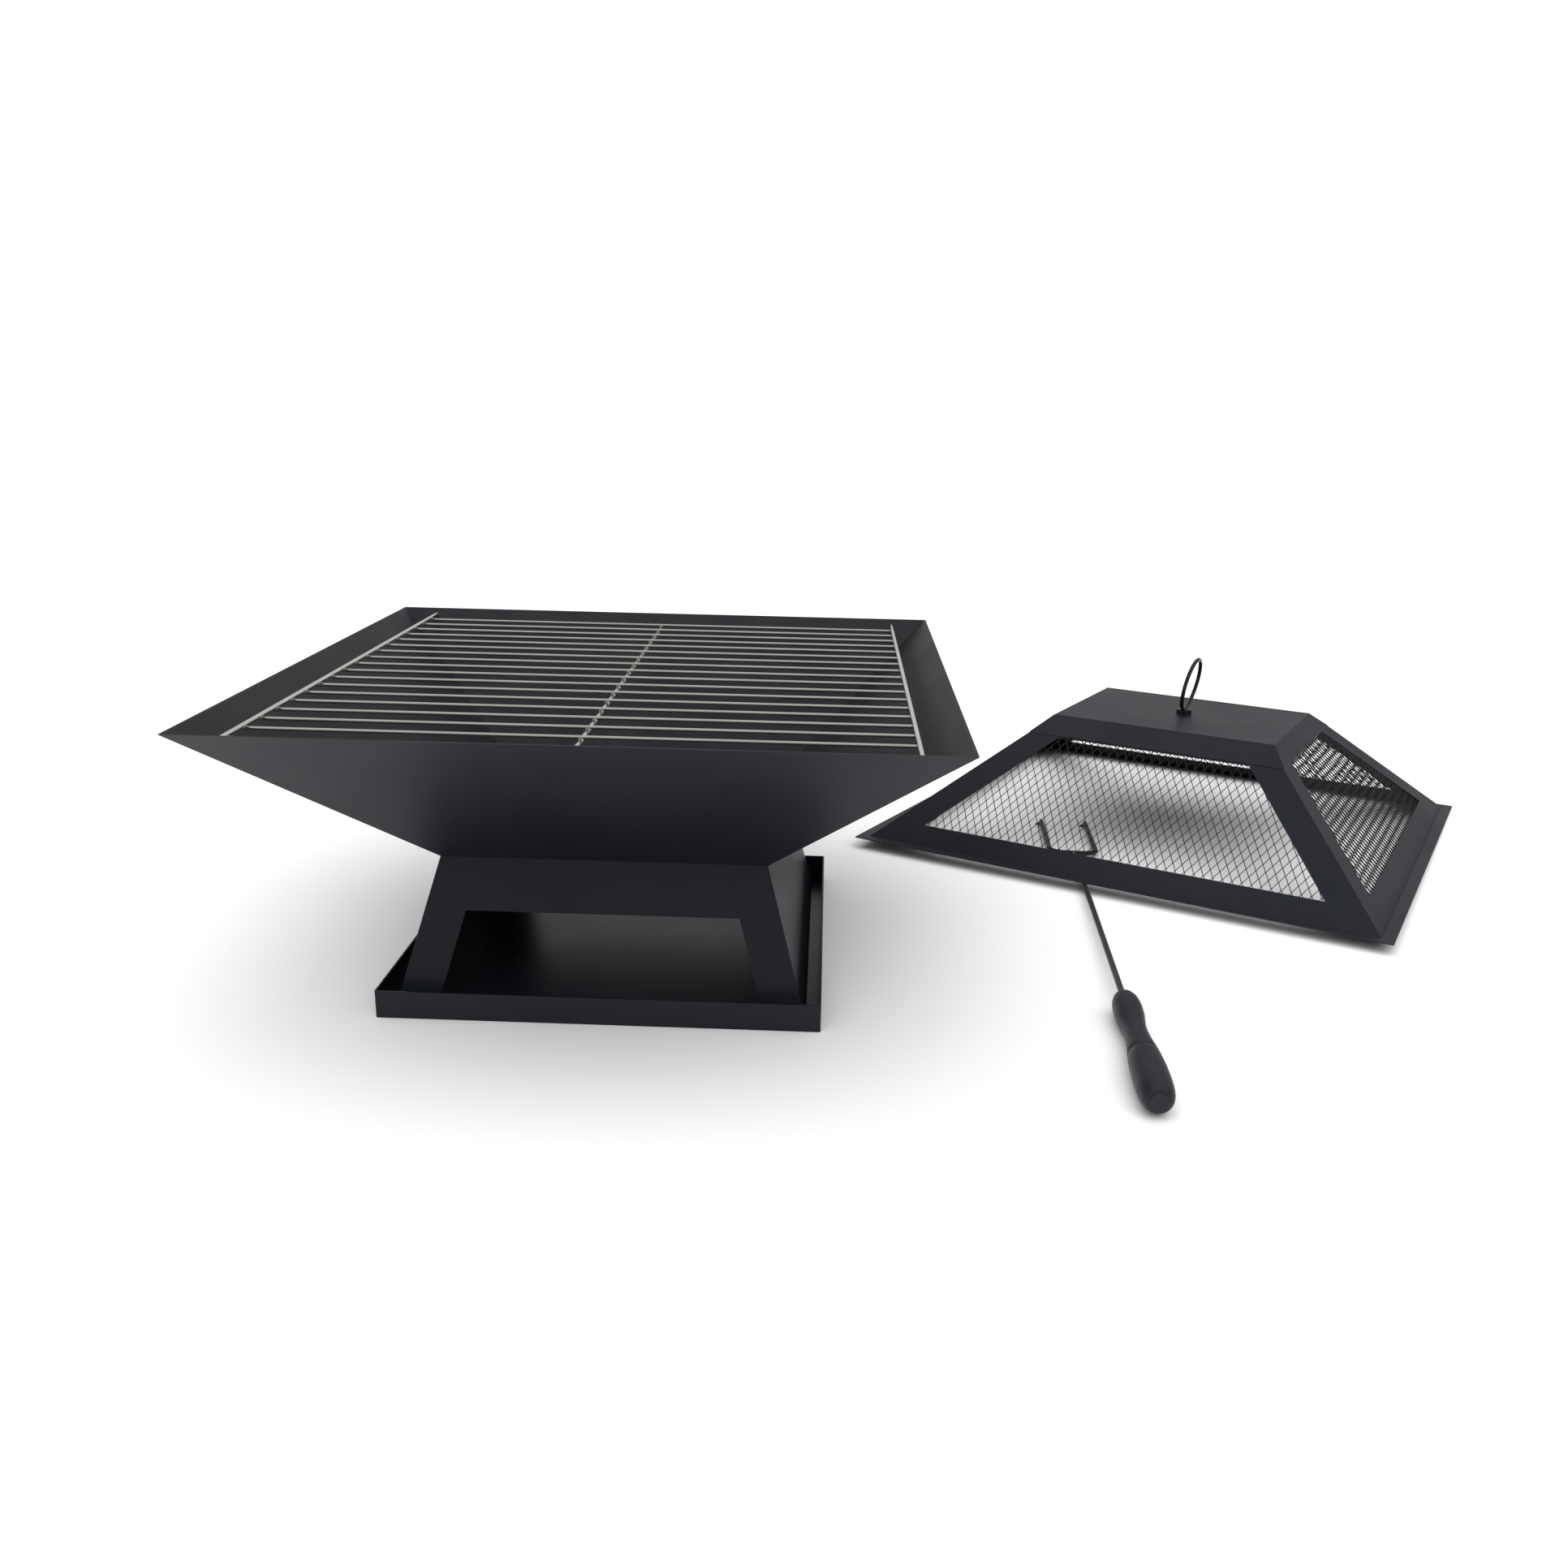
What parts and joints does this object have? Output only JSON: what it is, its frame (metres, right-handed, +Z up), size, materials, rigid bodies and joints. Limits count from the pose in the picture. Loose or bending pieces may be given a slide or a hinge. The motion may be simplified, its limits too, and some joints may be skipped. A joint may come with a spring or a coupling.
{
  "type": "fire pit with grate",
  "caption": "Square steel fire pit on a flared stand in an ash tray, with a lift-out wire grate, a pyramid spark lid with mesh sides, and a forked poker.",
  "frame": {"origin": "centre of the ash tray's underside, on the floor", "axes": "+Z up, +X to the right seen from the front of the pit, towards the lid and poker, +Y towards the back"},
  "size_m": [1.0276, 0.8787, 0.2115],
  "materials": {
    "powder_coat": "satin",
    "spark_mesh": "satin",
    "grate_wire": "satin",
    "zinc_steel": "satin",
    "black_steel": "satin",
    "grip_plastic": "matte"
  },
  "bodies": {
    "tray": {"tray": "powder_coat"},
    "pit": {"stand": "powder_coat", "bowl_floor": "powder_coat", "bowl_wall_front": "powder_coat", "bowl_wall_right": "powder_coat", "bowl_wall_back": "powder_coat", "bowl_wall_left": "powder_coat", "bowl_screws": "zinc_steel", "bowl_washers": "zinc_steel", "bowl_nuts": "zinc_steel"},
    "grate": {"grate_rod_left": "grate_wire", "grate_rod_right": "grate_wire", "grate_rod_centre": "grate_wire", "grate_bars": "grate_wire"},
    "lid": {"lid_frame_front": "powder_coat", "lid_frame_right": "powder_coat", "lid_frame_back": "powder_coat", "lid_frame_left": "powder_coat", "lid_mesh_front": "spark_mesh", "lid_mesh_right": "spark_mesh", "lid_mesh_back": "spark_mesh", "lid_mesh_left": "spark_mesh", "lid_cap": "powder_coat", "lid_ring": "black_steel", "lid_ring_boss": "black_steel", "lid_ring_washer": "zinc_steel", "lid_ring_nut": "zinc_steel"},
    "poker": {"poker_grip": "grip_plastic", "poker_butt_cap": "grip_plastic", "poker_rod": "black_steel", "poker_fork": "black_steel"}
  },
  "joints": [
    {"name": "pit_lift", "type": "slide", "parent": "tray", "child": "pit", "axis": [0, 0, 1], "range_m": [0, 0.08]},
    {"name": "grate_lift", "type": "slide", "parent": "pit", "child": "grate", "axis": [0, 0, 1], "range_m": [0, 0.1]},
    {"name": "lid_lift", "type": "slide", "parent": "tray", "child": "lid", "axis": [0, 0, 1], "range_m": [0, 0.12]},
    {"name": "poker_pull", "type": "slide", "parent": "tray", "child": "poker", "axis": [-0.0628, -0.9979, 0.0169], "range_m": [0, 0.3]}
  ]
}
